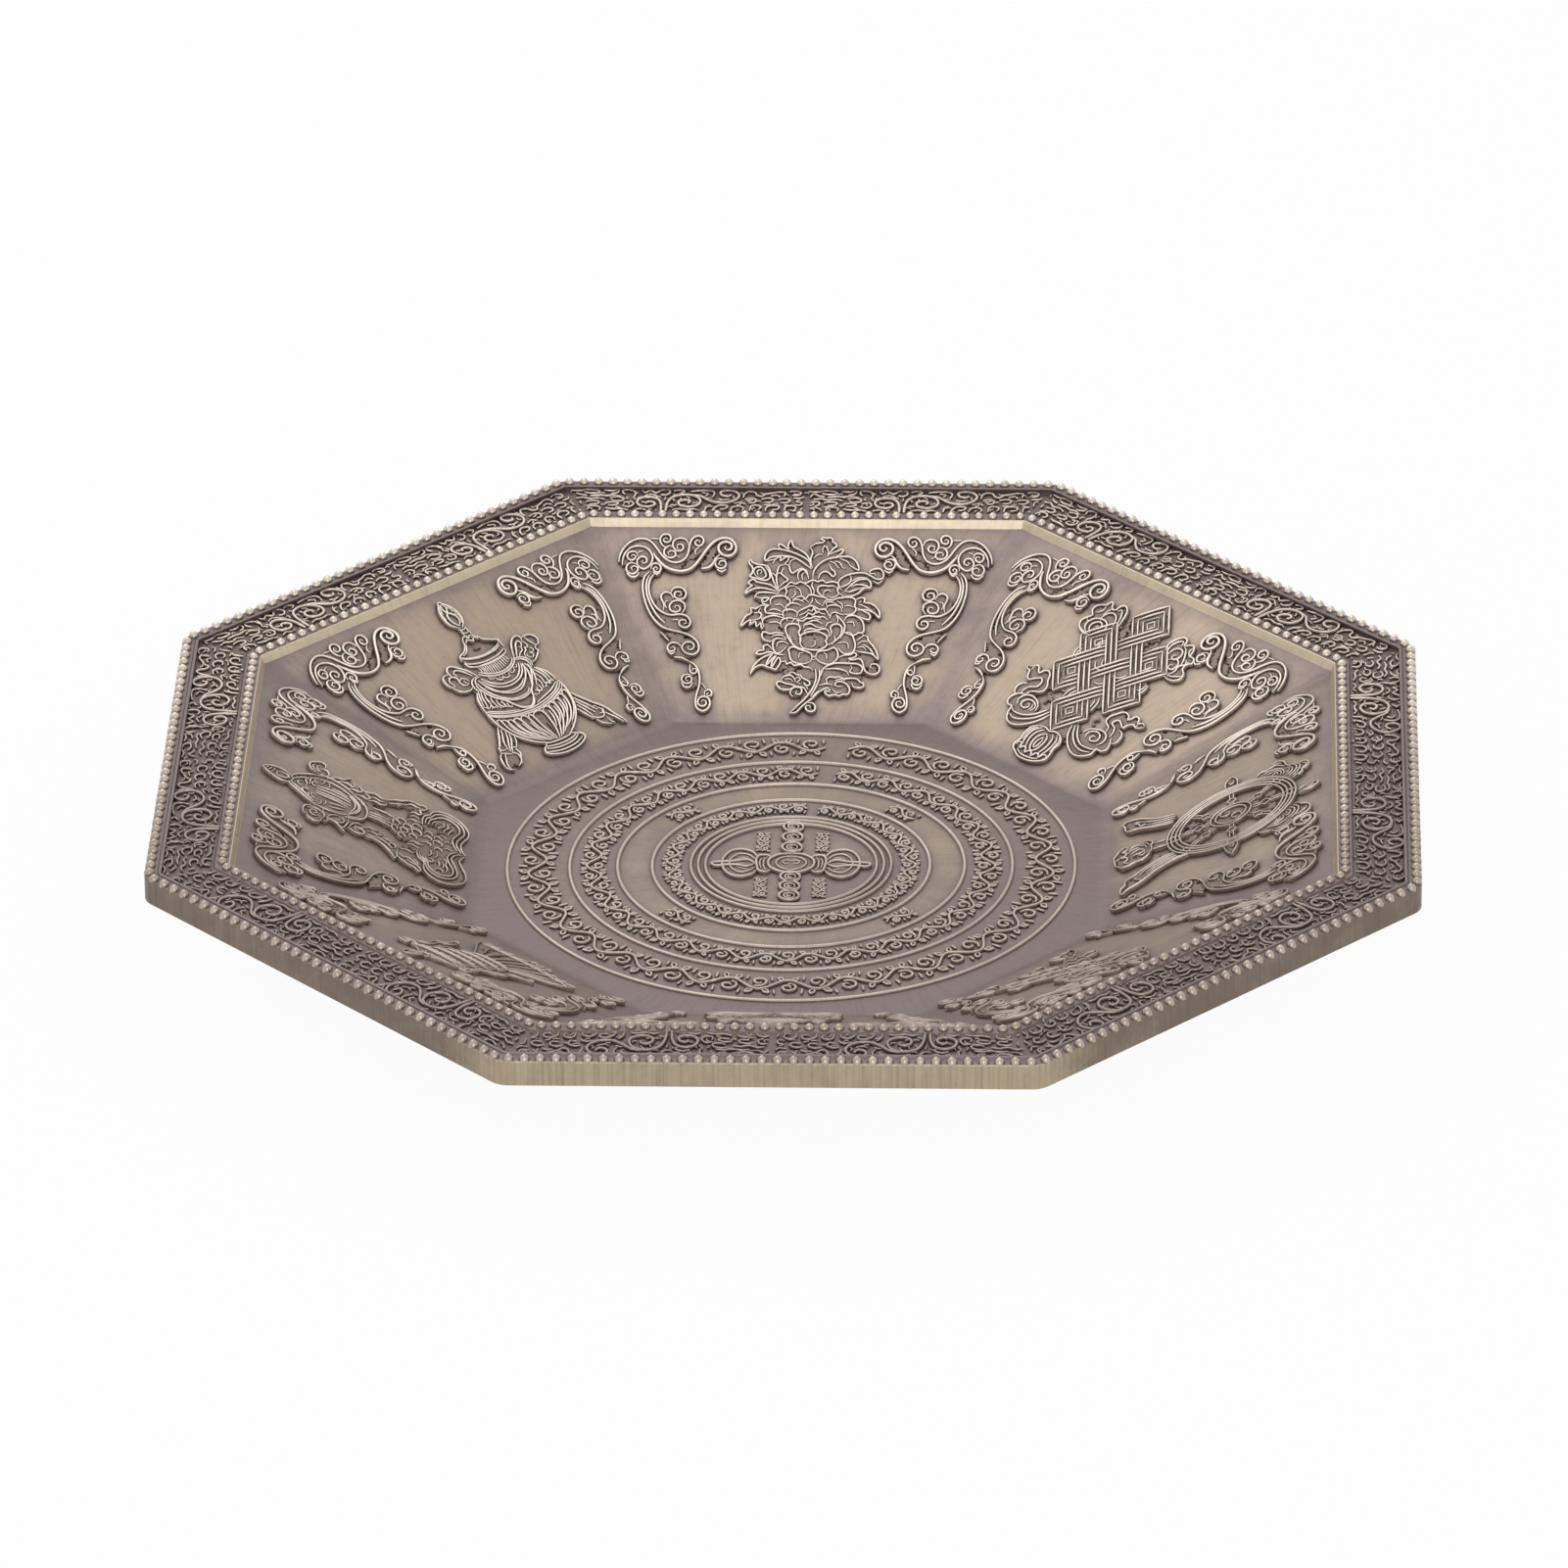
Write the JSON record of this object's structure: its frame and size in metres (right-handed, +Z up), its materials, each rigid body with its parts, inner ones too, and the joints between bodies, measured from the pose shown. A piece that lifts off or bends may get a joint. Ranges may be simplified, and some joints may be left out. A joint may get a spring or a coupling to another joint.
{
  "type": "fire offering tray",
  "caption": "Octagonal cast metal offering tray with beaded rims, a scroll frieze, sloping relief sides and a ringed round floor with a vajra.",
  "frame": {"origin": "centre of the flat underside that the tray stands on", "axes": "+Z up out of the well; the side with the lotus emblem faces +Y, the side with the wheel emblem +X"},
  "size_m": [0.162, 0.162, 0.0185],
  "materials": {
    "dish": "cast, brushed, dark patina in the recesses",
    "beads": "rubbed bright on the domes",
    "frieze": "rubbed strokes on a dark ground",
    "relief": "patinated ground with rubbed ridges",
    "field": "satin, rubbed on the raised lines"
  },
  "bodies": {
    "root": {"tray_dish": "dish", "outer_beaded_strip": "beads", "inner_beaded_strip": "beads", "wheel_of_law_emblem": "relief", "left_scroll_east": "relief", "right_scroll_east": "relief", "frieze_scroll_east_left": "frieze", "frieze_scroll_east_right": "frieze", "endless_knot_emblem": "relief", "left_scroll_northeast": "relief", "right_scroll_northeast": "relief", "frieze_scroll_northeast_left": "frieze", "frieze_scroll_northeast_right": "frieze", "lotus_flower_emblem": "relief", "left_scroll_north": "relief", "right_scroll_north": "relief", "frieze_scroll_north_left": "frieze", "frieze_scroll_north_right": "frieze", "treasure_vase_emblem": "relief", "left_scroll_northwest": "relief", "right_scroll_northwest": "relief", "frieze_scroll_northwest_left": "frieze", "frieze_scroll_northwest_right": "frieze", "parasol_emblem": "relief", "left_scroll_west": "relief", "right_scroll_west": "relief", "frieze_scroll_west_left": "frieze", "frieze_scroll_west_right": "frieze", "victory_banner_emblem": "relief", "left_scroll_southwest": "relief", "right_scroll_southwest": "relief", "frieze_scroll_southwest_left": "frieze", "frieze_scroll_southwest_right": "frieze", "conch_shell_emblem": "relief", "left_scroll_south": "relief", "right_scroll_south": "relief", "frieze_scroll_south_left": "frieze", "frieze_scroll_south_right": "frieze", "golden_fish_emblem": "relief", "left_scroll_southeast": "relief", "right_scroll_southeast": "relief", "frieze_scroll_southeast_left": "frieze", "frieze_scroll_southeast_right": "frieze", "field_ring_1": "field", "field_ring_2": "field", "field_ring_3": "field", "field_ring_4": "field", "boss_triple_ring": "field", "double_vajra": "field", "disc_chain_back": "field", "disc_chain_front": "field"}
  },
  "joints": []
}
